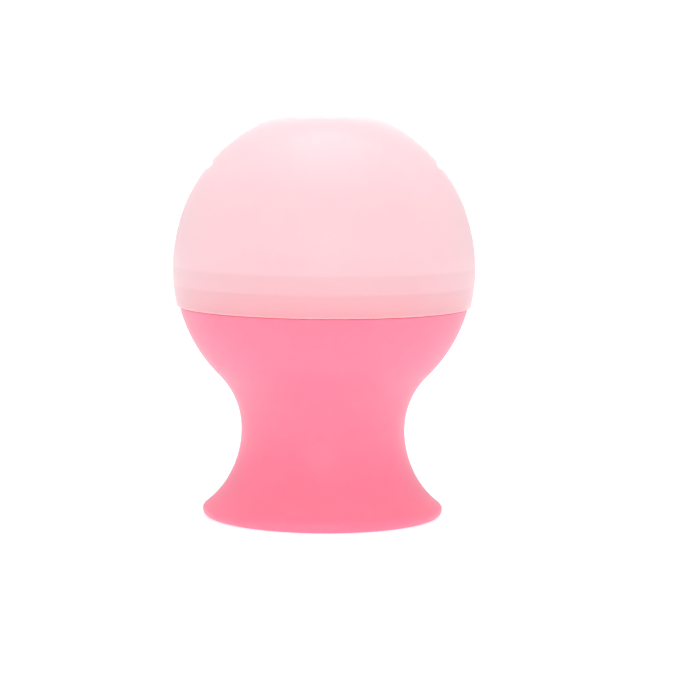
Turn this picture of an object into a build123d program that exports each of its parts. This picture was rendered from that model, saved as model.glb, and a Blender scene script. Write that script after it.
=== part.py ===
"""Moulded silicone cupping and ice-massage cup: a ball on a waisted, flared foot.

Three silicone mouldings, each turned about the Z axis:
  holder_base   lower half of the ball, narrow waist, open bell-shaped foot, and the
                stepped spigot that stands up inside the dome
  mould_dome    upper half of the ball, which lifts straight up off the spigot
  fill_stopper  tapered plug with a pull tab, which closes the fill hole at the waist

Units are millimetres. The origin is the centre of the foot's resting plane, +Z up.
"""
from build123d import *
import math
import os

# Overall shape
OVERALL_HEIGHT = 95.0          # resting plane to the flat on the crown
BALL_DIAMETER = 72.0           # widest size, across the dome at the ball's equator
DOME_RISE = 38.0               # half-height of the ellipse that the dome's outside follows
CROWN_FLAT_RADIUS = 11.5       # flat on the crown, before its edge is blended away
CROWN_BLEND = 18.0             # blend between the flat and the dome
DOME_WALL = 5.5                # dome wall at the equator

# Finger notches across the left and right shoulders of the dome
NOTCH_RISE = 24.7              # notches above the equator
NOTCH_WIDTH = 3.2
NOTCH_DEPTH = 0.7

# Base below the seam
SEAM_DROP = 9.0                # seam below the equator
LIP_STEP = 0.5                 # dome lip stands this far outside the base
WAIST_DIAMETER = 39.0
NECK_RADIUS = 18.8             # concave curve from the ball to the waist
FOOT_DIAMETER = 57.4
FOOT_EDGE_RADIUS = 1.4
BELL_WALL = 4.5                # wall of the bell, and of the waist
FLOOR_THICKNESS = 4.0          # between the ball cavity and the top of the bell
BELL_CROWN_RADIUS = 3.5        # blend at the top of the bell
RIM_BLEND = 0.8                # inner edge of the foot's resting ring

# Stepped spigot, and the dome's skirt round it
LIP_THICKNESS = 1.5            # dome skirt at the seam
LAND_HEIGHT = 5.6              # wide lower step of the spigot
TONGUE_HEIGHT = 9.4            # thin upper step, also measured from the seam
TONGUE_STEP = 0.8              # the tongue is this much smaller in radius than the land
SPIGOT_DRAFT = 0.3             # loss of radius up each step, so that the dome lifts
FIT_CLEARANCE = 0.2            # radial, between spigot and skirt
SEAT_GAP = 0.15                # upright, under each ledge of the dome
LIP_BLEND = 0.45               # outer edge of the dome's lip
TONGUE_BLEND = 0.4             # edges of the tongue's top

# Fill hole and stopper
HOLE_DIAMETER = 10.4           # at the bell side
HOLE_TAPER = 0.6               # loss of radius from the bell side to the cavity side
PLUG_CLEARANCE = 0.08          # radial, all round the plug
FLANGE_DIAMETER = 17.0
FLANGE_THICKNESS = 1.6
FLANGE_BLEND = 0.5
FLANGE_GAP = 0.1               # between the flange and the top of the bell
TAB_WIDTH = 10.0
TAB_THICKNESS = 2.6
TAB_LENGTH = 8.0
TAB_RIB_RADIUS = 0.6
TAB_RIB_COUNT = 3
TAB_RIB_PITCH = 1.9
TAB_RIB_INSET = 1.0            # each rib stops this far short of the tab's edge

CUT_OVERRUN = 1.0              # a cutter passes this far beyond the faces that it opens

# Levels and radii that follow from the sizes above
BALL_RADIUS = BALL_DIAMETER / 2
WAIST_RADIUS = WAIST_DIAMETER / 2
FOOT_RADIUS = FOOT_DIAMETER / 2
BASE_RADIUS = BALL_RADIUS - LIP_STEP
CAVITY_RADIUS = BALL_RADIUS - DOME_WALL
EQUATOR = OVERALL_HEIGHT - DOME_RISE * math.sqrt(1 - (CROWN_FLAT_RADIUS / BALL_RADIUS) ** 2)
SEAM = EQUATOR - SEAM_DROP
BELL_TOP = EQUATOR - CAVITY_RADIUS - FLOOR_THICKNESS

# The neck arc touches the base's sphere from outside, and is upright at the waist.
NECK_CENTRE_X = WAIST_RADIUS + NECK_RADIUS
WAIST = EQUATOR - math.sqrt((BASE_RADIUS + NECK_RADIUS) ** 2 - NECK_CENTRE_X ** 2)

# The flare arc is upright at the waist and touches the foot's rounded edge from outside.
EDGE_CENTRE = (FOOT_RADIUS - FOOT_EDGE_RADIUS, FOOT_EDGE_RADIUS)
FLARE_RUN = EDGE_CENTRE[0] - WAIST_RADIUS
FLARE_DROP = WAIST - EDGE_CENTRE[1]
FLARE_RADIUS = (FLARE_RUN ** 2 + FLARE_DROP ** 2 - FOOT_EDGE_RADIUS ** 2) / (
    2 * (FLARE_RUN + FOOT_EDGE_RADIUS)
)
FLARE_CENTRE = (WAIST_RADIUS + FLARE_RADIUS, WAIST)

LAND_RADIUS = (
    BALL_RADIUS * math.sqrt(1 - (SEAM_DROP / DOME_RISE) ** 2) - LIP_THICKNESS - FIT_CLEARANCE
)
LAND_TOP = SEAM + LAND_HEIGHT
TONGUE_RADIUS = LAND_RADIUS - SPIGOT_DRAFT - TONGUE_STEP
TONGUE_TOP = SEAM + TONGUE_HEIGHT


def on_circle(centre, radius, degrees):
    """Point on a circle, at an angle from +X."""
    turn = math.radians(degrees)
    return (centre[0] + radius * math.cos(turn), centre[1] + radius * math.sin(turn))


def arc(centre, radius, start, end):
    """Arc about a centre, from one angle to another, in degrees."""
    angles = (start, (start + end) / 2, end)
    return ThreePointArc(*[on_circle(centre, radius, angle) for angle in angles])


def angle_to(centre, target):
    """Angle from +X of the line from one point to another, in degrees."""
    return math.degrees(math.atan2(target[1] - centre[1], target[0] - centre[0]))


def outline(*edges):
    """Flat face inside a closed outline, in X (radius) and Y (height)."""
    return make_face(Curve() + list(edges))


def turned(face):
    """Solid of revolution about Z from a face in X (radius) and Y (height)."""
    return revolve(Plane.XZ * face, Axis.Z, 360)


def chain(*points):
    """Straight edges through the points, in order."""
    return Polyline(*points)


def edges_at(solid, radius, height):
    """Circular edges of a turned solid at one radius and height."""
    near = 0.01
    return [
        edge
        for edge in solid.edges().filter_by(GeomType.CIRCLE)
        if abs(edge.radius - radius) < near and abs(edge.arc_center.Z - height) < near
    ]


def spigot(clearance=0, gap=0):
    """Stepped spigot, filled to the axis; with clearances it is the bore of the dome's skirt."""
    land_top = LAND_TOP + gap
    tongue_top = TONGUE_TOP + gap
    steps = chain(
        (0, SEAM),
        (LAND_RADIUS + clearance, SEAM),
        (LAND_RADIUS + clearance - SPIGOT_DRAFT, land_top),
        (TONGUE_RADIUS + clearance, land_top),
        (TONGUE_RADIUS + clearance - SPIGOT_DRAFT, tongue_top),
        (0, tongue_top),
        (0, SEAM),
    )
    return turned(outline(steps))


def base_outside():
    """Ball below the seam, neck, waist, flare and rounded foot edge, filled to the axis."""
    ball_centre = (0, EQUATOR)
    neck_centre = (NECK_CENTRE_X, WAIST)
    seam_angle = -math.degrees(math.asin(SEAM_DROP / BASE_RADIUS))
    join_angle = angle_to(ball_centre, neck_centre)
    edge_angle = angle_to(EDGE_CENTRE, FLARE_CENTRE)
    seam_point = on_circle(ball_centre, BASE_RADIUS, seam_angle)
    face = outline(
        chain((0, 0), (0, SEAM), seam_point),
        arc(ball_centre, BASE_RADIUS, seam_angle, join_angle),
        arc(neck_centre, NECK_RADIUS, join_angle + 180, 180),
        arc(FLARE_CENTRE, FLARE_RADIUS, 180, 180 + edge_angle),
        arc(EDGE_CENTRE, FOOT_EDGE_RADIUS, edge_angle, -90),
        chain((EDGE_CENTRE[0], 0), (0, 0)),
    )
    return turned(face)


def bell_hollow():
    """Hollow of the foot: the flare's curve, one wall further in, up to a blended crown."""
    radius = FLARE_RADIUS + BELL_WALL
    crown_angle = 180 - math.degrees(math.asin((BELL_TOP - WAIST) / radius))
    mouth_angle = 180 + math.degrees(math.asin(WAIST / radius))
    crown = on_circle(FLARE_CENTRE, radius, crown_angle)
    mouth = on_circle(FLARE_CENTRE, radius, mouth_angle)
    hollow = turned(
        outline(
            arc(FLARE_CENTRE, radius, crown_angle, mouth_angle),
            chain(mouth, (0, 0), (0, BELL_TOP), crown),
        )
    )
    return fillet(edges_at(hollow, crown[0], BELL_TOP), BELL_CROWN_RADIUS), mouth[0]


def fill_hole(allowance, bottom, top):
    """Tapered plug shape on the axis, larger than the hole in radius by the allowance."""
    slope = HOLE_TAPER / FLOOR_THICKNESS
    low = HOLE_DIAMETER / 2 - slope * (bottom - BELL_TOP) + allowance
    high = HOLE_DIAMETER / 2 - slope * (top - BELL_TOP) + allowance
    return turned(outline(chain((0, bottom), (low, bottom), (high, top), (0, top), (0, bottom))))


def ball_cavity():
    """Round space that the two halves close in."""
    return Pos(0, 0, EQUATOR) * Sphere(CAVITY_RADIUS)


def make_holder_base():
    """Lower half of the ball with its spigot, on the waisted and flared foot."""
    hollow, mouth_radius = bell_hollow()
    solid = base_outside() + spigot()
    solid = solid - ball_cavity() - hollow
    solid = solid - fill_hole(0, BELL_TOP - CUT_OVERRUN, BELL_TOP + FLOOR_THICKNESS + CUT_OVERRUN)
    solid = fillet(edges_at(solid, mouth_radius, 0), RIM_BLEND)
    return fillet(edges_at(solid, TONGUE_RADIUS - SPIGOT_DRAFT, TONGUE_TOP), TONGUE_BLEND)


def make_mould_dome():
    """Upper half of the ball, with a flat crown, finger notches and a stepped skirt."""
    lip = SEAM + SEAT_GAP
    lip_angle = -math.degrees(math.asin((EQUATOR - lip) / DOME_RISE))
    flat_angle = math.degrees(math.acos(CROWN_FLAT_RADIUS / BALL_RADIUS))
    lip_radius = BALL_RADIUS * math.cos(math.radians(lip_angle))
    side = EllipticalCenterArc(
        (0, EQUATOR), BALL_RADIUS, DOME_RISE, lip_angle, arc_size=flat_angle - lip_angle
    )
    rest = chain(
        (CROWN_FLAT_RADIUS, OVERALL_HEIGHT), (0, OVERALL_HEIGHT), (0, lip), (lip_radius, lip)
    )
    solid = turned(outline(side, rest))
    solid = fillet(edges_at(solid, CROWN_FLAT_RADIUS, OVERALL_HEIGHT), CROWN_BLEND)
    solid = fillet(edges_at(solid, lip_radius, lip), LIP_BLEND)
    for side in (-1, 1):
        solid = solid - notch_bar(side)
    return solid - spigot(FIT_CLEARANCE, SEAT_GAP) - ball_cavity()


def notch_bar(side):
    """Round bar along Y, sunk into one shoulder of the dome to the notch's width and depth."""
    bar = (NOTCH_WIDTH ** 2 / 4 + NOTCH_DEPTH ** 2) / (2 * NOTCH_DEPTH)
    turn = math.asin(NOTCH_RISE / DOME_RISE)
    normal = math.atan2(BALL_RADIUS * math.sin(turn), DOME_RISE * math.cos(turn))
    stand_off = bar - NOTCH_DEPTH
    across = BALL_RADIUS * math.cos(turn) + stand_off * math.cos(normal)
    height = EQUATOR + NOTCH_RISE + stand_off * math.sin(normal)
    return Pos(side * across, 0, height) * Rot(90, 0, 0) * Cylinder(bar, BALL_RADIUS)


def make_fill_stopper():
    """Tapered plug, flange and ribbed pull tab, in one piece."""
    flange_top = BELL_TOP - FLANGE_GAP
    flange_bottom = flange_top - FLANGE_THICKNESS
    plug = fill_hole(-PLUG_CLEARANCE, flange_top, BELL_TOP + FLOOR_THICKNESS)
    flange = Pos(0, 0, flange_bottom) * Cylinder(
        FLANGE_DIAMETER / 2, FLANGE_THICKNESS, align=(Align.CENTER, Align.CENTER, Align.MIN)
    )
    flange = fillet(edges_at(flange, FLANGE_DIAMETER / 2, flange_bottom), FLANGE_BLEND)
    end_centre = flange_bottom - TAB_LENGTH + TAB_WIDTH / 2
    flat_height = TAB_LENGTH - TAB_WIDTH / 2 + FLANGE_THICKNESS / 2
    flat = Rectangle(TAB_WIDTH, flat_height, align=(Align.CENTER, Align.MIN))
    flat = flat + Circle(TAB_WIDTH / 2)
    tab = extrude(Plane.XZ * (Pos(0, end_centre) * flat), TAB_THICKNESS / 2, both=True)
    solid = plug + flange + tab
    for side in (-1, 1):
        for count in range(TAB_RIB_COUNT):
            level = end_centre + (count - (TAB_RIB_COUNT - 1) / 2) * TAB_RIB_PITCH
            half_width = math.sqrt((TAB_WIDTH / 2) ** 2 - min(0, level - end_centre) ** 2)
            rib = Rot(0, 90, 0) * Cylinder(TAB_RIB_RADIUS, 2 * (half_width - TAB_RIB_INSET))
            solid = solid + Pos(0, side * TAB_THICKNESS / 2, level) * rib
    return solid


NODES = {
    "holder_base": make_holder_base,
    "mould_dome": make_mould_dome,
    "fill_stopper": make_fill_stopper,
}

os.makedirs("parts", exist_ok=True)
for name, make in NODES.items():
    export_step(make(), os.path.join("parts", name + ".step"))
print("equator", round(EQUATOR, 2), "seam", round(SEAM, 2), "waist", round(WAIST, 2))
print("flare radius", round(FLARE_RADIUS, 2), "bell top", round(BELL_TOP, 2))
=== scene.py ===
# %% [markdown]
# # A silicone cupping and ice-massage cup
# The object is three silicone mouldings: a deep pink base with half a ball, a waist and a flared foot; a
# pale, slightly see-through dome that drops over the base's stepped spigot; and a small stopper in the fill
# hole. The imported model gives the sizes, the bodies and the joints. This lesson keeps all of those, and
# makes each moulding again as a fine surface with the soft edges, the mould marks and the finish of
# silicone.

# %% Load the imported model
import math

import bpy
import numpy as np
from mathutils import Matrix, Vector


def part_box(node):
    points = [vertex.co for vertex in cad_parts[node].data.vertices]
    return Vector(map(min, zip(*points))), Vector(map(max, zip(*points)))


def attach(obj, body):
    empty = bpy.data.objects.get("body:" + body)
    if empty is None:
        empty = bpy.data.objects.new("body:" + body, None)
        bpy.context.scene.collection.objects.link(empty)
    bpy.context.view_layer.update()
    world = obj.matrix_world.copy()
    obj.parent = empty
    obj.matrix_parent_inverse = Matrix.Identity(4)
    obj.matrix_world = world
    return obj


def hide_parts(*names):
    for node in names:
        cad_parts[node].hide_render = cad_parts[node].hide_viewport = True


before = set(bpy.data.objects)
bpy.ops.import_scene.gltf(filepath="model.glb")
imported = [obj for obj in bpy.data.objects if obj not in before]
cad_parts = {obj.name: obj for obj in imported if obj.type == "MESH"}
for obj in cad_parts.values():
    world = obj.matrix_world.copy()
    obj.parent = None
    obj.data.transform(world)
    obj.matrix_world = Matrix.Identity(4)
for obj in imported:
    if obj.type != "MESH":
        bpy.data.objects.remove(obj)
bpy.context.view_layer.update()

MM = 0.001

# %% [markdown]
# ## Sizes
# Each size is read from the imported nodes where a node's box shows it. The rest are the drawing's own
# values. Working in millimetres keeps the numbers easy to read; the meshes are turned into metres at the
# end.

# %% Sizes, in millimetres
dome_low, dome_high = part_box("mould_dome")
plug_low, plug_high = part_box("fill_stopper")

HEIGHT = dome_high[2] / MM
BALL = 36.0                  # radius of the dome at the ball's equator
DOME_RISE = 38.0             # half-height of the ellipse that the dome follows
CROWN_FLAT = 11.5            # radius of the flat on the crown
EQUATOR = HEIGHT - DOME_RISE * math.sqrt(1 - (CROWN_FLAT / BALL) ** 2)
CAVITY = 30.5                # radius of the round space inside
LIP = dome_low[2] / MM       # underside of the dome's lip
SEAT_GAP = 0.15              # upright gap between the dome and the base
SEAM = LIP - SEAT_GAP
BASE_BALL = 35.5             # radius of the base's part of the ball
WAIST_RADIUS = 19.5
NECK = 18.8                  # radius of the concave neck
FOOT_RADIUS = 28.7
FOOT_EDGE = 1.4              # rounding of the foot's edge
BELL_WALL = 4.5
FLOOR = 4.0                  # floor between the ball and the bell
BELL_TOP = EQUATOR - CAVITY - FLOOR
print("equator", round(EQUATOR, 2), "seam", round(SEAM, 2), "bell top", round(BELL_TOP, 2))

# %% The stepped spigot, and the dome's skirt round it
FIT = 0.2                    # radial clearance between the two
LAND_HEIGHT = 5.6
TONGUE_HEIGHT = 9.4
DRAFT = 0.3
SKIRT = 1.5                  # thickness of the dome's lip
TONGUE_STEP = 0.8
LAND = BALL * math.sqrt(1 - ((EQUATOR - SEAM) / DOME_RISE) ** 2) - SKIRT - FIT
TONGUE = LAND - DRAFT - TONGUE_STEP
print("land radius", round(LAND, 2), "tongue radius", round(TONGUE, 2))

# %% [markdown]
# ## Camera
# A long lens a little above the crown, tipped down by under six degrees: the flat top is seen almost
# edge-on, and the seam bows gently. The tilt is how far the cup's axis leans from upright. Turning the
# camera about its own line of sight comes first, then the tip down, then the turn to the side, so none
# disturbs another.

# %% Camera
def make_camera(distance, height, aim_height, side, tilt, lens):
    """Camera in front of the object, on -Y, aimed at a height on the axis and moved sideways by side."""
    data = bpy.data.cameras.new("camera")
    data.lens = lens
    data.sensor_width = 36.0
    camera = bpy.data.objects.new("camera", data)
    bpy.context.scene.collection.objects.link(camera)
    down = math.atan2(height - aim_height, distance)
    turn = math.atan2(side, distance)
    about_sight = Matrix.Rotation(tilt, 3, "Z")
    tip = Matrix.Rotation(math.pi / 2 - down, 3, "X")
    aim = Matrix.Rotation(-turn, 3, "Z")
    camera.location = (0, -distance, height)
    camera.rotation_euler = (aim @ tip @ about_sight).to_euler()
    bpy.context.scene.camera = camera
    return camera


camera = make_camera(distance=0.602, height=0.1024, aim_height=0.0421, side=0.0038, tilt=0.0076, lens=134.2)
print("camera at", tuple(round(v, 4) for v in camera.location))

# %% [markdown]
# ## Profiles
# A turned moulding is one outline in radius and height, swept round the axis. The outline is a chain of
# arcs and lines. Where two of them meet, silicone never has a sharp corner, so each corner is cut back a
# little and bridged by a smooth curve. A Bevel modifier could round the corners after the sweep, but it
# would give them all one width, and here each corner has its own.

# %% Curves for outlines
def arc(centre, radius, start, end, count=240):
    """Points on a circle: the centre plus the radius times (cos, sin) of evenly spaced angles, in degrees."""
    turn = np.radians(np.linspace(start, end, count))
    return np.stack([centre[0] + radius * np.cos(turn), centre[1] + radius * np.sin(turn)], axis=1)


def line(*corners, count=60):
    """Points spread evenly along the straight runs between the corners."""
    runs = [np.linspace(a, b, count) for a, b in zip(corners[:-1], corners[1:])]
    return np.concatenate(runs)


def lengths(path):
    """Distance along a path at each of its points."""
    steps = np.hypot(*np.diff(path, axis=0).T)
    return np.concatenate([[0.0], np.cumsum(steps)])


def shorten(path, off_start, off_end, count=240):
    """The same path without its first and last few millimetres."""
    along = lengths(path)
    wanted = np.linspace(off_start, along[-1] - off_end, count)
    return np.stack([np.interp(wanted, along, path[:, axis]) for axis in (0, 1)], axis=1)


def bridge(start, corner, end, count=24):
    """Quadratic curve from start to end that is pulled towards the corner between them."""
    t = np.linspace(0, 1, count + 2)[1:-1, None]
    return (1 - t) ** 2 * start + 2 * t * (1 - t) * corner + t ** 2 * end


def soften(curves, reaches, closed=False):
    """Joins curves end to end. Each corner is cut back by its own reach on both sides and bridged."""
    count = len(curves)
    before = [reaches[i - 1] if (i or closed) else 0.0 for i in range(count)]
    after = [reaches[i] if (i < count - 1 or closed) else 0.0 for i in range(count)]
    cut = [shorten(curve, off_start, off_end) for curve, off_start, off_end in zip(curves, before, after)]
    pieces = []
    for i, curve in enumerate(cut):
        pieces.append(curve)
        if i < count - 1 or closed:
            pieces.append(bridge(curve[-1], curves[i][-1], cut[(i + 1) % count][0]))
    path = np.concatenate(pieces)
    keep = np.concatenate([[True], np.hypot(*np.diff(path, axis=0).T) > 1e-5])
    return path[keep]


# %% Spread the points where the outline bends
def spread(path, count, bend_weight=0.35, finer_at=None, finer_reach=2.5):
    """The path with count points: more where it turns, fewer where it runs straight.

    Each short step weighs its own length, plus bend_weight millimetres for each tenth of a radian of its
    turn. Steps within finer_reach of the point finer_at weigh three times as much. The new points divide
    the summed weight evenly.
    """
    steps = np.diff(path, axis=0)
    heading = np.unwrap(np.arctan2(steps[:, 1], steps[:, 0]))
    turning = np.abs(np.diff(heading, prepend=heading[0]))
    weight = np.hypot(*steps.T) + bend_weight * 10 * turning
    if finer_at is not None:
        near = np.hypot(*(path[1:] - finer_at).T) < finer_reach
        weight *= np.where(near, 3.0, 1.0)
    summed = np.concatenate([[0.0], np.cumsum(weight)])
    wanted = np.linspace(0, summed[-1], count)
    return np.stack([np.interp(wanted, summed, path[:, axis]) for axis in (0, 1)], axis=1)


# %% [markdown]
# ## From outline to surface
# The grid has one row for each outline point and one column for each angle. A Screw modifier would sweep
# the outline too. Working the grid out with numpy keeps every point's radius, height and angle at hand,
# so a relief, in millimetres along the surface's own normal, can add what a plain sweep lacks: a parting
# line, a gate mark or a finger notch.

# %% Normals of an outline
def outward(path):
    """Unit normal at each point of an outline, away from the silicone, from the side its area lies on."""
    slope = np.gradient(path, axis=0)
    slope /= np.hypot(*slope.T)[:, None]
    r, z = path.T
    area = np.sum(r * np.roll(z, -1) - z * np.roll(r, -1))
    return np.sign(area) * np.stack([slope[:, 1], -slope[:, 0]], axis=1)


# %% Mesh from a grid of points
def grid_mesh(name, points, loop_rows, poles):
    """Mesh from a grid of points, rows by columns. Columns always close on themselves.

    loop_rows joins the last row to the first. poles closes the first and last rows, each a single point,
    with fans.
    """
    rows, columns, _ = points.shape
    first = 1 if poles else 0
    last = rows - 1 if poles else rows
    body = points[first:last].reshape(-1, 3)
    across = np.arange(columns)
    beyond = (across + 1) % columns
    row = np.arange(last - first if loop_rows else last - first - 1)
    low = (row * columns)[:, None]
    high = (((row + 1) % (last - first)) * columns)[:, None]
    quads = np.stack([low + across, high + across, high + beyond, low + beyond], axis=-1).reshape(-1, 4)
    faces = quads.tolist()
    vertices = body
    if poles:
        top, bottom = len(body), len(body) + 1
        vertices = np.concatenate([body, points[:1, 0], points[-1:, 0]])
        end = (last - first - 1) * columns
        faces += np.stack([np.full(columns, top), across, beyond], axis=1).tolist()
        faces += np.stack([np.full(columns, bottom), end + beyond, end + across], axis=1).tolist()
    mesh = bpy.data.meshes.new(name)
    mesh.from_pydata(vertices * MM, [], faces)
    mesh.shade_smooth()
    return mesh


def add_piece(name, mesh):
    """Object for a finished mesh, at the origin."""
    piece = bpy.data.objects.new(name, mesh)
    bpy.context.scene.collection.objects.link(piece)
    return piece


# %% Sweep an outline round the axis
def around(count):
    """Evenly spaced angles for a whole turn."""
    return np.linspace(0, 2 * np.pi, count, endpoint=False)


def turned(name, path, columns, relief=None, loop_rows=False):
    """Surface of revolution: the outline's (r, z) at angle a goes to (r cos a, r sin a, z).

    relief(r, z, a) moves each point along the outline's normal. The path is put in the order that makes the
    faces point outwards.
    """
    r, z = path.T
    if np.sum(r * np.roll(z, -1) - z * np.roll(r, -1)) > 0:
        path = path[::-1]
    normal = outward(path)
    angle = columns[None, :]
    r, z = path[:, :1], path[:, 1:]
    raised = relief(r, z, angle) if relief else np.zeros((len(path), len(columns)))
    out_r = r + normal[:, :1] * raised
    out_z = z + normal[:, 1:] * raised
    points = np.stack([out_r * np.cos(angle), out_r * np.sin(angle), out_z + 0 * angle], axis=-1)
    mesh = grid_mesh(name, points, loop_rows, poles=not loop_rows)
    piece = add_piece(name, mesh)
    print(name, "rows", len(path), "columns", len(columns), "faces", len(mesh.polygons))
    return piece


# %% Numbers kept on a mesh
def store(piece, name, values, columns, poles):
    """Keeps one number for each outline point as a mesh attribute, the same all round its ring."""
    rings = values[1:-1] if poles else values
    everywhere = np.repeat(rings, columns)
    if poles:
        everywhere = np.concatenate([everywhere, values[:1], values[-1:]])
    attribute = piece.data.attributes.new(name, "FLOAT", "POINT")
    attribute.data.foreach_set("value", everywhere.astype(np.float32))


# %% [markdown]
# ## The dome
# The dome is the pale moulding, the upper half of the ball. Outside, it follows an ellipse that is a
# little taller than it is wide, cut by a flat on the crown so that the cup can stand upside down. A
# shallow finger notch crosses its left and right shoulders. Inside, the skirt is stepped to match the
# spigot, and above it the wall is round. A sphere cut in half and given a Solidify modifier would have an
# even wall. The outline gives each part of the wall its own thickness, which the see-through finish
# needs.

# %% Outline of the dome
def ellipse_part(start, end, count=400):
    """Points on the dome's ellipse between two parameter angles, in degrees."""
    turn = np.radians(np.linspace(start, end, count))
    return np.stack([BALL * np.cos(turn), EQUATOR + DOME_RISE * np.sin(turn)], axis=1)


CROWN_REACH = 3.6            # how far each side of the crown's edge the blend runs


def dome_outline():
    """Down the outside from the crown, round the lip, up the stepped skirt and over the inside."""
    flat_end = math.degrees(math.acos(CROWN_FLAT / BALL))
    lip_start = -math.degrees(math.asin((EQUATOR - LIP) / DOME_RISE))
    lip_radius = BALL * math.cos(math.radians(lip_start))
    outside = ellipse_part(flat_end, lip_start)
    land_top = SEAM + LAND_HEIGHT + SEAT_GAP
    tongue_top = SEAM + TONGUE_HEIGHT + SEAT_GAP
    bore = LAND + FIT
    skirt_mouth = bore - DRAFT * (LIP - SEAM) / (LAND_HEIGHT + SEAT_GAP)
    inner_start = math.degrees(math.asin((tongue_top - EQUATOR) / CAVITY))
    curves = [
        line((0, HEIGHT), (CROWN_FLAT, HEIGHT)),
        outside,
        line((lip_radius, LIP), (skirt_mouth, LIP)),
        line((skirt_mouth, LIP), (bore - DRAFT, land_top)),
        line((bore - DRAFT, land_top), (TONGUE + FIT, land_top)),
        line((TONGUE + FIT, land_top), (TONGUE + FIT - DRAFT, tongue_top)),
        line((TONGUE + FIT - DRAFT, tongue_top), (CAVITY * math.cos(math.radians(inner_start)), tongue_top)),
        arc((0, EQUATOR), CAVITY, inner_start, 90),
    ]
    corner_reaches = [CROWN_REACH, 0.45, 0.3, 0.25, 0.25, 0.3, 0.4]
    return soften(curves, corner_reaches)


# %% Finger notches and gate mark
NOTCH_RISE = 24.7            # finger notches above the equator
NOTCH_WIDTH = 3.2
NOTCH_DEPTH = 0.7
NOTCH_EDGE = 0.08            # softness of the notches' edges
GATE_RADIUS = 0.9            # the mark left where the silicone was let in
GATE_DEPTH = 0.25
notch_turn = math.asin(NOTCH_RISE / DOME_RISE)
notch_place = np.array([BALL * math.cos(notch_turn), EQUATOR + NOTCH_RISE])
notch_normal = math.atan2(BALL * math.sin(notch_turn), DOME_RISE * math.cos(notch_turn))


def notches(r, z, a):
    """Depth of the two notches, each as a straight round bar laid along Y would press it.

    Across the notch the depth falls off as a parabola. Away from the X axis the round dome turns inwards
    from the straight bar, by r (1 - |cos a|) across, so the notch runs out. Its edges start gently: a depth
    u becomes u u / (u + edge).
    """
    across = np.hypot(r - notch_place[0], z - notch_place[1]) / (NOTCH_WIDTH / 2)
    turned_in = r * (1 - np.abs(np.cos(a))) * math.cos(notch_normal)
    sunk = np.clip(NOTCH_DEPTH * (1 - across ** 2) - turned_in, 0, None)
    return -sunk * sunk / (sunk + NOTCH_EDGE)


def dome_relief(r, z, a):
    """The notches, and a faint gate mark: a shallow, flat-bottomed dimple in the middle of the crown."""
    outside = np.hypot(r, z - EQUATOR) > CAVITY + 2
    gate = -GATE_DEPTH * np.exp(-(r / GATE_RADIUS) ** 4) * (z > HEIGHT - 1)
    return np.where(outside, notches(r, z, a), 0) + gate + 0 * a


# %% Make the dome
DOME_ROWS = 340
DOME_COLUMNS = 240
dome_path = spread(dome_outline(), DOME_ROWS, finer_at=notch_place)
dome = turned("dome_shell", dome_path, around(DOME_COLUMNS), dome_relief)
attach(dome, "dome")
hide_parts("mould_dome")

# %% [markdown]
# ## The band through the skirt
# Pale silicone is milky: a thick wall hides what is behind it, and a thin skirt lets the deep pink spigot
# show through as a band. Transmission with a scattering volume could do this, but it is slow and noisy,
# and other programs don't read it. Here, how much a wall hides is worked out from its thickness and kept
# on the mesh, for the alpha to follow. So the band is never painted, and it goes when the dome is lifted
# off.

# %% How much the dome's wall hides
HIDING_DEPTH = 2.9           # millimetres of silicone that hide 63 % of what passes the skin
SKIN_LOSS = 0.15             # what the satin skin hides by itself, however thin the wall
THICKEST = 12.0              # a longer line than this hides no more
NEAREST = 0.05               # a crossing nearer than this is the line's own start
OUTER_BAND = 0.6             # points this far inside the ellipse still belong to the outer face


def cross(one, other):
    """Cross product of two sets of flat vectors."""
    return one[..., 0] * other[..., 1] - one[..., 1] * other[..., 0]


def wall_thickness(path):
    """Length of the straight line from each outline point, against its normal, to the other side of the wall.

    The line p + t d meets the run from a to a + e where t = (a - p) x e / d x e and where
    u = (a - p) x d / d x e lies between 0 and 1. The smallest t that isn't the start itself is the thickness.
    """
    inward = -outward(path)
    run = np.diff(path, axis=0)
    to_run = path[None, :-1] - path[:, None]
    with np.errstate(divide="ignore", invalid="ignore"):
        crossing = cross(inward[:, None], run[None])
        along = cross(to_run, run[None]) / crossing
        share = cross(to_run, inward[:, None]) / crossing
    met = (share >= 0) & (share <= 1) & (along > NEAREST)
    return np.where(met, along, np.inf).min(axis=1)


dome_wall = np.minimum(wall_thickness(dome_path), THICKEST)
hiding = 1 - (1 - SKIN_LOSS) * np.exp(-dome_wall / HIDING_DEPTH)
store(dome, "hiding", hiding, DOME_COLUMNS, poles=True)
near_crown = dome_path[:, 1] > HEIGHT - 2
squashed = np.hypot(dome_path[:, 0], (dome_path[:, 1] - EQUATOR) * BALL / DOME_RISE)
near_ellipse = squashed > BALL - OUTER_BAND
outer_face = near_crown | near_ellipse
store(dome, "outer_face", outer_face.astype(float), DOME_COLUMNS, poles=True)
print("dome wall from", round(dome_wall.min(), 2), "to", round(dome_wall.max(), 2), "mm")

# %% [markdown]
# ## The base
# The base is the deep pink moulding: half a ball, a neck that curves in to the waist, and a flare that
# opens to the foot. The same flare, one wall further in, is the bell underneath. A few rings under a
# Subdivision Surface would give the same waist roughly. Arcs that meet without a kink give it exactly,
# from a few sizes. The outline is one closed loop, because the fill hole goes right through.

# %% Centres of the base's arcs
def toward(centre, target):
    """Angle of the line from one point to another, in degrees from +X."""
    return math.degrees(math.atan2(target[1] - centre[1], target[0] - centre[0]))


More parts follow.
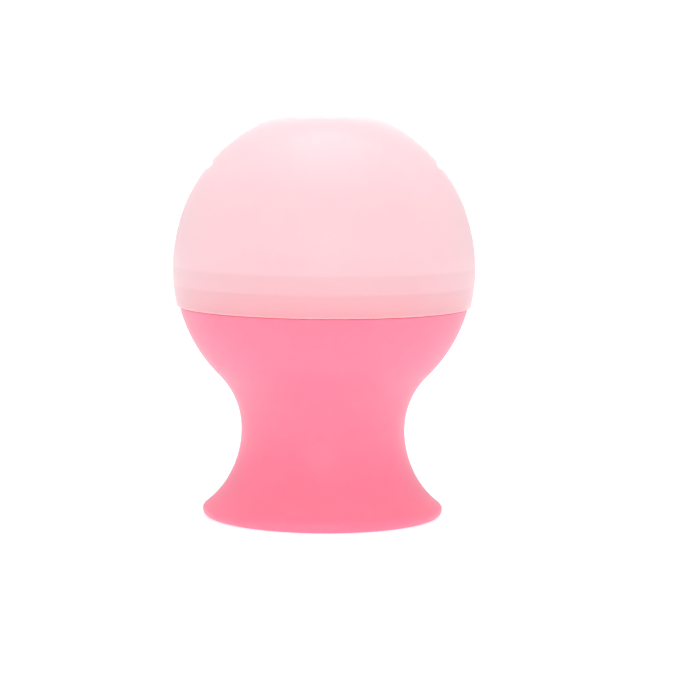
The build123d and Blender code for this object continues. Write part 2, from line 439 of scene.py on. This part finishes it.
neck_centre = (WAIST_RADIUS + NECK, EQUATOR - math.sqrt((BASE_BALL + NECK) ** 2 - (WAIST_RADIUS + NECK) ** 2))
WAIST = neck_centre[1]
edge_centre = (FOOT_RADIUS - FOOT_EDGE, FOOT_EDGE)
flare_run = edge_centre[0] - WAIST_RADIUS
flare_drop = WAIST - FOOT_EDGE
FLARE = (flare_run ** 2 + flare_drop ** 2 - FOOT_EDGE ** 2) / (2 * (flare_run + FOOT_EDGE))
flare_centre = (WAIST_RADIUS + FLARE, WAIST)
print("waist height", round(WAIST, 2), "flare radius", round(FLARE, 2))

# %% Sealing ribs round the spigot
RIB_HEIGHT = 0.12            # two low sealing ribs round the spigot's wide step
RIB_HALF_WIDTH = 0.3
RIB_PLACES = (0.33, 0.66)    # as shares of the step's height


def ribbed(path):
    """A straight path with ribs: near each place it swells leftwards by a squared cosine of the distance."""
    along = lengths(path)
    heading = (path[-1] - path[0]) / along[-1]
    left = np.array([-heading[1], heading[0]])
    swell = np.zeros(len(path))
    for place in RIB_PLACES:
        away = np.clip(np.abs(along - place * along[-1]) / RIB_HALF_WIDTH, 0, 1)
        swell += RIB_HEIGHT * np.cos(away * math.pi / 2) ** 2
    return path + swell[:, None] * left


# %% Outline of the base
HOLE = 5.2                   # radius of the fill hole at the bell side
HOLE_TAPER = 0.6             # loss of radius up to the ball side


def base_outline():
    """Down the outside from the spigot's top, under the foot, up the bell and the hole, over the cavity."""
    ball_centre = (0, EQUATOR)
    join = toward(ball_centre, neck_centre)
    seam_angle = -math.degrees(math.asin((EQUATOR - SEAM) / BASE_BALL))
    seam_radius = BASE_BALL * math.cos(math.radians(seam_angle))
    edge_angle = toward(edge_centre, flare_centre)
    inner = FLARE + BELL_WALL
    crown_angle = 180 - math.degrees(math.asin((BELL_TOP - WAIST) / inner))
    mouth_angle = 180 + math.degrees(math.asin(WAIST / inner))
    bell = arc(flare_centre, inner, mouth_angle, crown_angle)
    hole_top = HOLE - HOLE_TAPER
    cavity_low = math.degrees(math.asin(math.sqrt(1 - (hole_top / CAVITY) ** 2)))
    cavity_floor = EQUATOR - CAVITY * math.sin(math.radians(cavity_low))
    tongue_top = SEAM + TONGUE_HEIGHT
    land_top = SEAM + LAND_HEIGHT
    top_angle = math.degrees(math.asin((tongue_top - EQUATOR) / CAVITY))
    inside_top = CAVITY * math.cos(math.radians(top_angle))
    outside = np.concatenate([
        arc(ball_centre, BASE_BALL, seam_angle, join),
        arc(neck_centre, NECK, join + 180, 180)[1:],
        arc(flare_centre, FLARE, 180, 180 + edge_angle)[1:],
        arc(edge_centre, FOOT_EDGE, edge_angle, -90)[1:],
    ])
    curves = [
        line((inside_top, tongue_top), (TONGUE - DRAFT, tongue_top)),
        line((TONGUE - DRAFT, tongue_top), (TONGUE, land_top)),
        line((TONGUE, land_top), (LAND - DRAFT, land_top)),
        ribbed(line((LAND - DRAFT, land_top), (LAND, SEAM), count=400)),
        line((LAND, SEAM), (seam_radius, SEAM)),
        outside,
        line((edge_centre[0], 0), (bell[0][0], 0)),
        bell,
        line(bell[-1], (HOLE, BELL_TOP)),
        line((HOLE, BELL_TOP), (hole_top, cavity_floor)),
        arc(ball_centre, CAVITY, -cavity_low, top_angle),
    ]
    corner_reaches = [0.5, 0.25, 0.35, 0.25, 0.3, 0.3, 0.8, 2.8, 0.3, 0.35, 0.4]
    return soften(curves, corner_reaches, closed=True)


# %% [markdown]
# ## The parting line
# The base was moulded between two halves, because the waist is narrower than both ends. Where they met, a
# thin parting line runs down each side. A bump in the material could draw it, but the mesh would go
# without. Columns are packed closely there instead, so that a line a quarter of a millimetre wide is real
# geometry.

# %% Parting line, and the columns that carry it
PARTING_WIDTH = 0.14         # half-width, millimetres
PARTING_HEIGHT = 0.05
PARTING_LOW = 1.2            # the line stops this far above the ground, and a little under the seam


def around_with_parting(count, near=10, step=0.0016):
    """Angles for a whole turn with a close cluster at 0 and at pi, where the parting lines run."""
    cluster = np.arange(-near, near + 1) * step
    gap = (near + 1) * step
    side = np.linspace(gap, math.pi - gap, (count - 2 * len(cluster)) // 2)
    half = np.concatenate([cluster, side])
    return np.concatenate([half, half + math.pi])


def base_relief(r, z, a):
    """A ridge at the angles 0 and pi, on the outside only: its height falls off as a bell curve across it."""
    from_line = np.abs((a + math.pi / 2) % math.pi - math.pi / 2) * r
    outer_wall = (z < SEAM - 0.3) & (z > PARTING_LOW) & (r > outside_limit(z) - 1.0)
    return PARTING_HEIGHT * np.exp(-(from_line / PARTING_WIDTH) ** 2) * outer_wall


def outside_limit(z):
    """Radius of the base's outside at a height: the ball, the neck or the flare."""
    ball = np.sqrt(np.clip(BASE_BALL ** 2 - (z - EQUATOR) ** 2, 0, None))
    neck = neck_centre[0] - np.sqrt(np.clip(NECK ** 2 - (z - WAIST) ** 2, 0, None))
    flare = flare_centre[0] - np.sqrt(np.clip(FLARE ** 2 - (z - WAIST) ** 2, 0, None))
    join_height = EQUATOR + BASE_BALL * math.sin(math.radians(toward((0, EQUATOR), neck_centre)))
    return np.where(z > join_height, ball, np.where(z > WAIST, neck, flare))


# %% Make the base
BASE_ROWS = 410
BASE_COLUMNS = 240
base_path = spread(base_outline(), BASE_ROWS)
base_columns = around_with_parting(BASE_COLUMNS)
base = turned("base_moulding", base_path, base_columns, base_relief, loop_rows=True)
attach(base, "base")
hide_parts("holder_base")

# %% [markdown]
# ## The stopper
# A tapered plug closes the fill hole, a flange stops it, and a ribbed paddle below is pinched to pull it
# out. The plug and flange are turned. The paddle could be a rounded box with three cylinders joined to
# it, which leaves hard creases where they meet. Instead its grid has one row for each height and one
# column for each direction round a squarish section, and the ribs swell out of it. Both are closed, and
# the paddle's root is buried in the flange.

# %% Stopper sizes
FLANGE_RADIUS = 8.5
FLANGE_GAP = 0.1             # between the flange and the top of the bell
FLANGE_THICKNESS = 1.6
DISH_RADIUS = 20.8           # the plug's top is a shallow dish
DISH_DEPTH = 0.3
PLUG_CLEARANCE = 0.08
PLUG_TOP = plug_high[2] / MM
FLANGE_TOP = BELL_TOP - FLANGE_GAP
FLANGE_BOTTOM = FLANGE_TOP - FLANGE_THICKNESS
PADDLE_END = plug_low[2] / MM
PADDLE_HALF = 5.0            # half the paddle's width, and the radius of its round end
PADDLE_HALF_THICK = 1.3
PADDLE_CENTRE = PADDLE_END + PADDLE_HALF
print("flange from", round(FLANGE_BOTTOM, 2), "to", round(FLANGE_TOP, 2), "paddle end", round(PADDLE_END, 2))


# %% Plug and flange
def plug_outline():
    """From the dished top down the taper, out over the flange and in under it."""
    slope = HOLE_TAPER / FLOOR
    low = HOLE - PLUG_CLEARANCE + slope * FLANGE_GAP
    high = HOLE - HOLE_TAPER - PLUG_CLEARANCE
    dish = arc((0, PLUG_TOP + DISH_RADIUS - DISH_DEPTH), DISH_RADIUS, -90, -82, count=60)
    curves = [
        dish,
        line(dish[-1], (high - 0.9, PLUG_TOP)),
        line((high - 0.9, PLUG_TOP), (high, PLUG_TOP)),
        line((high, PLUG_TOP), (low, FLANGE_TOP)),
        line((low, FLANGE_TOP), (FLANGE_RADIUS, FLANGE_TOP)),
        line((FLANGE_RADIUS, FLANGE_TOP), (FLANGE_RADIUS, FLANGE_BOTTOM)),
        line((FLANGE_RADIUS, FLANGE_BOTTOM), (0, FLANGE_BOTTOM)),
    ]
    return soften(curves, [0.2, 0.15, 0.35, 0.15, 0.3, 0.5])


PLUG_ROWS = 120
PLUG_COLUMNS = 128
plug_path = spread(plug_outline(), PLUG_ROWS)
plug = turned("stopper_plug", plug_path, around(PLUG_COLUMNS))


# %% Ribbed paddle
SECTION_POWER = 5.0          # 2 is an ellipse, and higher powers come nearer to a rectangle
PADDLE_RIB_RADIUS = 0.6
PADDLE_RIB_PITCH = 1.9
PADDLE_RIB_INSET = 1.0
PADDLE_RIB_FADE = 0.5
ROOT_FILLET = 0.8
ROOT_DEPTH = 0.5             # how far the paddle is buried in the flange


def smooth_step(value):
    """0 below 0, 1 above 1, and the curve 3t^2 - 2t^3 between."""
    t = np.clip(value, 0, 1)
    return t * t * (3 - 2 * t)


def paddle_points(rows=150, columns=144):
    """Grid of the paddle's points, in millimetres.

    At each height the section is |x / w|^p + |y / t|^p = 1. The half-width w follows the round end, the
    half-thickness t is rounded over the last millimetre, and both grow by a quarter circle at the root. The
    three ribs add a half-circle section to y, faded out before the paddle's edges.
    """
    down = np.linspace(0, 1, rows)[:, None]
    top = FLANGE_BOTTOM + ROOT_DEPTH
    z = top - (top - PADDLE_END) * np.sin(down * math.pi / 2)
    below = np.clip(PADDLE_CENTRE - z, 0, PADDLE_HALF)
    width = np.sqrt(np.clip(PADDLE_HALF ** 2 - below ** 2, 0, None))
    last = np.clip(1 - (z - PADDLE_END), 0, 1)
    thick = PADDLE_HALF_THICK * np.sqrt(1 - last ** 2)
    into_root = np.clip((z - FLANGE_BOTTOM + ROOT_FILLET) / ROOT_FILLET, 0, 1)
    root = ROOT_FILLET * (1 - np.sqrt(1 - into_root ** 2))
    angle = around(columns)[None, :]
    across, out = np.cos(angle), np.sin(angle)
    x = (width + root) * np.sign(across) * np.abs(across) ** (2 / SECTION_POWER)
    y = (thick + root) * np.sign(out) * np.abs(out) ** (2 / SECTION_POWER)
    ribs = np.zeros_like(x)
    for count in (-1, 0, 1):
        level = PADDLE_CENTRE + count * PADDLE_RIB_PITCH
        ribs += np.sqrt(np.clip(PADDLE_RIB_RADIUS ** 2 - (z - level) ** 2, 0, None))
    fade = smooth_step((width - PADDLE_RIB_INSET - np.abs(x)) / PADDLE_RIB_FADE)
    y = y + np.sign(out) * ribs * fade
    points = np.stack([x, y, z + 0 * angle], axis=-1)
    points[0] = points[0].mean(axis=0)
    points[-1] = points[-1].mean(axis=0)
    return points


# %% Make the paddle, and put the stopper on its body
paddle_mesh = grid_mesh("stopper_paddle", paddle_points(), loop_rows=False, poles=True)
paddle = add_piece("stopper_paddle", paddle_mesh)
print("paddle faces", len(paddle.data.polygons))
for piece in (plug, paddle):
    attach(piece, "stopper")
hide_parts("fill_stopper")
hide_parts("fill_stopper")

# %% [markdown]
# ## Silicone
# Satin silicone scatters light just under its skin, so its edges look soft. Plain colour would look like
# painted wood; the principled shader's subsurface gives the softness. Three effects vary over the
# surface, and each comes from a node group that every silicone here shares: the fine grain that the mould
# leaves, a roughness that drifts where hands have polished it, and pigment that was never mixed quite
# evenly.

# %% Helpers for node groups
def new_group(name, inputs, outputs):
    """Empty shader group with named sockets: inputs are (label, type, value), outputs are (label, type)."""
    group = bpy.data.node_groups.new(name, "ShaderNodeTree")
    for label, kind, value in inputs:
        socket = group.interface.new_socket(label, in_out="INPUT", socket_type="NodeSocket" + kind)
        socket.default_value = value
    for label, kind in outputs:
        group.interface.new_socket(label, in_out="OUTPUT", socket_type="NodeSocket" + kind)
    return group, group.nodes.new("NodeGroupInput"), group.nodes.new("NodeGroupOutput")


def add_math(tree, operation, *values):
    """Math node. Each value is a number or the socket to read it from."""
    node = tree.nodes.new("ShaderNodeMath")
    node.operation = operation
    for socket, value in zip(node.inputs, values):
        if isinstance(value, (int, float)):
            socket.default_value = value
        else:
            tree.links.new(value, socket)
    return node.outputs[0]


def add_noise(tree, scale, detail, distortion=0.0):
    """Noise on the piece's own Object coordinates. scale is a number or a socket."""
    place = tree.nodes.new("ShaderNodeTexCoord")
    noise = tree.nodes.new("ShaderNodeTexNoise")
    noise.inputs["Detail"].default_value = detail
    noise.inputs["Distortion"].default_value = distortion
    tree.links.new(place.outputs["Object"], noise.inputs["Vector"])
    if isinstance(scale, (int, float)):
        noise.inputs["Scale"].default_value = scale
    else:
        tree.links.new(scale, noise.inputs["Scale"])
    return noise.outputs["Fac"]


# %% Group: the mould's grain, and roughness that drifts
def make_mould_texture():
    """Height is fine grain plus a slow waviness. Roughness is its input, plus or minus Drift."""
    inputs = [("Grain Size", "Float", 0.35), ("Roughness", "Float", 0.45), ("Drift", "Float", 0.06)]
    group, given, result = new_group("mould_texture", inputs, [("Height", "Float"), ("Roughness", "Float")])
    grains_per_metre = add_math(group, "DIVIDE", 1000.0, given.outputs["Grain Size"])
    grain = add_noise(group, grains_per_metre, 3.0)
    wave = add_noise(group, 70.0, 1.0)
    height = add_math(group, "MULTIPLY_ADD", wave, 2.0, grain)
    group.links.new(height, result.inputs["Height"])
    slow = add_noise(group, 95.0, 2.0, distortion=0.6)
    centred = add_math(group, "SUBTRACT", slow, 0.5)
    drifted = add_math(group, "MULTIPLY_ADD", centred, given.outputs["Drift"], given.outputs["Roughness"])
    group.links.new(drifted, result.inputs["Roughness"])
    return group


# %% Group: uneven pigment
def make_pigment():
    """Colour blends Thin and Rich by slow, swirled noise. Spread widens or narrows the blend about half."""
    inputs = [("Thin", "Color", (1, 1, 1, 1)), ("Rich", "Color", (0, 0, 0, 1)), ("Spread", "Float", 1.0)]
    group, given, result = new_group("uneven_pigment", inputs, [("Colour", "Color")])
    swirl = add_noise(group, 38.0, 3.0, distortion=1.4)
    centred = add_math(group, "SUBTRACT", swirl, 0.5)
    share = add_math(group, "MULTIPLY_ADD", centred, given.outputs["Spread"], 0.5)
    blend = group.nodes.new("ShaderNodeMix")
    blend.data_type = "RGBA"
    group.links.new(share, blend.inputs["Factor"])
    group.links.new(given.outputs["Thin"], blend.inputs["A"])
    group.links.new(given.outputs["Rich"], blend.inputs["B"])
    group.links.new(blend.outputs["Result"], result.inputs["Colour"])
    return group


mould_texture = make_mould_texture()
uneven_pigment = make_pigment()
print("groups:", [group.name for group in bpy.data.node_groups])


# %% Silicone material
INDEX = 1.41                 # silicone's index of refraction


def silicone(name, thin, rich, scatter, scatter_scale, roughness):
    """Satin silicone: a Principled shader with subsurface, and the groups for colour, gloss and grain."""
    material = bpy.data.materials.new(name)
    material.use_nodes = True
    tree = material.node_tree
    shader = tree.nodes["Principled BSDF"]
    shader.inputs["Subsurface Weight"].default_value = 1.0
    shader.inputs["Subsurface Radius"].default_value = scatter
    shader.inputs["Subsurface Scale"].default_value = scatter_scale
    shader.inputs["IOR"].default_value = INDEX
    pigment = tree.nodes.new("ShaderNodeGroup")
    pigment.node_tree = uneven_pigment
    pigment.inputs["Thin"].default_value = (*thin, 1)
    pigment.inputs["Rich"].default_value = (*rich, 1)
    tree.links.new(pigment.outputs["Colour"], shader.inputs["Base Color"])
    texture = tree.nodes.new("ShaderNodeGroup")
    texture.node_tree = mould_texture
    texture.inputs["Roughness"].default_value = roughness
    bump = tree.nodes.new("ShaderNodeBump")
    bump.inputs["Strength"].default_value = 0.2
    bump.inputs["Distance"].default_value = 0.00004
    tree.links.new(texture.outputs["Height"], bump.inputs["Height"])
    tree.links.new(bump.outputs["Normal"], shader.inputs["Normal"])
    tree.links.new(texture.outputs["Roughness"], shader.inputs["Roughness"])
    return material


# %% Alpha for the see-through dome
SLANT_LIMIT = 0.5            # slant from which a line through the dome misses its hollow
MISS_POWER = 4.0             # how late the miss sets in before that limit
GLANCE_POWER = 3.0           # the skin mirrors the slant to this power


def show_through(material):
    """Alpha from the stored hiding, which is for a straight look. A slanted look crosses more silicone.

    The slant is the layer weight's facing, 1 less the cosine c. The line of sight bends as it enters: with
    n the index, the cosine inside is sqrt(1 - (1 - c c) / (n n)). What shows through is the straight share
    to the power of 1 over that cosine, less what the skin mirrors at a glancing angle, which draws a rosy
    edge round the dome. Seen from inside the silicone, the inner faces are clear, so a wall counts once. A
    line that leaves by the outer face on a slant has never reached the hollow, so (slant / limit)^4 of it
    is hidden.
    """
    tree = material.node_tree
    stored = tree.nodes.new("ShaderNodeAttribute")
    stored.attribute_name = "hiding"
    outer = tree.nodes.new("ShaderNodeAttribute")
    outer.attribute_name = "outer_face"
    weight = tree.nodes.new("ShaderNodeLayerWeight")
    weight.inputs["Blend"].default_value = 0.5
    slant = weight.outputs["Facing"]
    cosine = add_math(tree, "SUBTRACT", 1.0, slant)
    squared = add_math(tree, "MULTIPLY", cosine, cosine)
    bend = 1 / INDEX ** 2
    inside = add_math(tree, "SQRT", add_math(tree, "MULTIPLY_ADD", squared, bend, 1 - bend))
    straight = add_math(tree, "SUBTRACT", 1.0, stored.outputs["Fac"])
    through = add_math(tree, "POWER", straight, add_math(tree, "DIVIDE", 1.0, inside))
    glancing = add_math(tree, "POWER", slant, GLANCE_POWER)
    passed = add_math(tree, "MULTIPLY", through, add_math(tree, "SUBTRACT", 1.0, glancing))
    hidden = add_math(tree, "SUBTRACT", 1.0, passed)
    share = add_math(tree, "MULTIPLY", slant, 1 / SLANT_LIMIT)
    missed = add_math(tree, "MINIMUM", add_math(tree, "POWER", share, MISS_POWER), 1.0)
    leaving = add_math(tree, "MULTIPLY", missed, outer.outputs["Fac"])
    side = tree.nodes.new("ShaderNodeNewGeometry")
    choose = tree.nodes.new("ShaderNodeMix")
    tree.links.new(side.outputs["Backfacing"], choose.inputs["Factor"])
    tree.links.new(hidden, choose.inputs["A"])
    tree.links.new(leaving, choose.inputs["B"])
    tree.links.new(choose.outputs["Result"], tree.nodes["Principled BSDF"].inputs["Alpha"])


# %% The three silicones
PALE_THIN = (0.97, 0.640, 0.680)
PALE_RICH = (0.97, 0.620, 0.660)
DEEP_THIN = (0.96, 0.246, 0.358)
DEEP_RICH = (0.96, 0.230, 0.344)

pale = silicone("pale_silicone", PALE_THIN, PALE_RICH, (1.0, 0.8, 0.8), 0.0006, 0.42)
show_through(pale)
deep = silicone("deep_silicone", DEEP_THIN, DEEP_RICH, (1.0, 0.35, 0.4), 0.003, 0.42)
plug_pale = silicone("plug_silicone", PALE_THIN, PALE_RICH, (1.0, 0.8, 0.8), 0.0012, 0.45)
for piece, material in ((dome, pale), (base, deep), (plug, plug_pale), (paddle, plug_pale)):
    piece.data.materials.append(material)
print("materials:", [material.name for material in (pale, deep, plug_pale)])

# %% [markdown]
# ## Studio
# The cup stands on a white floor that glows a little, as a light table does, so its underside isn't dull.
# One wide soft light is in front, one is overhead, and a weak one fills the back. The surround lights the
# cup evenly, and looks brighter to the camera than it shines, so that the background is white. Stronger
# lamps alone would whiten the background too, but would burn the pale dome out.

# %% Floor
def make_floor(size=3.0, shade=0.6, glow=0.60):
    """A plain square under the foot: a light grey that glows, so that it reads as white."""
    mesh = bpy.data.meshes.new("floor")
    half = size / 2
    corners = [(-half, -half, 0), (half, -half, 0), (half, half, 0), (-half, half, 0)]
    mesh.from_pydata(corners, [], [(0, 1, 2, 3)])
    floor = add_piece("floor", mesh)
    material = bpy.data.materials.new("floor_white")
    material.use_nodes = True
    shader = material.node_tree.nodes["Principled BSDF"]
    shader.inputs["Base Color"].default_value = (shade, shade, shade, 1)
    shader.inputs["Roughness"].default_value = 0.8
    shader.inputs["Emission Color"].default_value = (1, 1, 1, 1)
    shader.inputs["Emission Strength"].default_value = glow
    mesh.materials.append(material)
    return floor


# %% Surround
def make_surround(shines, looks):
    """World of even white: one strength for the light it gives, and one for how bright it looks."""
    world = bpy.data.worlds.new("surround")
    world.use_nodes = True
    tree = world.node_tree
    light = tree.nodes["Background"]
    light.inputs["Color"].default_value = (1, 1, 1, 1)
    light.inputs["Strength"].default_value = shines
    seen = tree.nodes.new("ShaderNodeBackground")
    seen.inputs["Color"].default_value = (1, 1, 1, 1)
    seen.inputs["Strength"].default_value = looks
    path = tree.nodes.new("ShaderNodeLightPath")
    choose = tree.nodes.new("ShaderNodeMixShader")
    tree.links.new(path.outputs["Is Camera Ray"], choose.inputs["Fac"])
    tree.links.new(light.outputs[0], choose.inputs[1])
    tree.links.new(seen.outputs[0], choose.inputs[2])
    tree.links.new(choose.outputs[0], tree.nodes["World Output"].inputs["Surface"])
    bpy.context.scene.world = world


# %% Soft lights
def soft_light(name, place, size, power):
    """Square area light aimed at the middle of the object."""
    data = bpy.data.lights.new(name, "AREA")
    data.shape = "SQUARE"
    data.size = size
    data.energy = power
    light = bpy.data.objects.new(name, data)
    bpy.context.scene.collection.objects.link(light)
    light.location = place
    aim = np.array([0, 0, 0.05]) - np.array(place)
    light.rotation_euler = (math.atan2(math.hypot(aim[0], aim[1]), -aim[2]), 0, math.atan2(-aim[0], aim[1]))
    return light


# %% Put the studio together
make_floor()
make_surround(shines=0.74, looks=1.02)
soft_light("front_soft", (0, -1.2, 0.30), 0.8, 3.6)
soft_light("overhead_soft", (0, 0, 1.0), 0.7, 4.1)
soft_light("back_soft", (0, 1.2, 0.50), 0.8, 1.6)

scene = bpy.context.scene
scene.view_settings.view_transform = "Standard"
scene.cycles.diffuse_bounces = 12
scene.cycles.max_bounces = 16
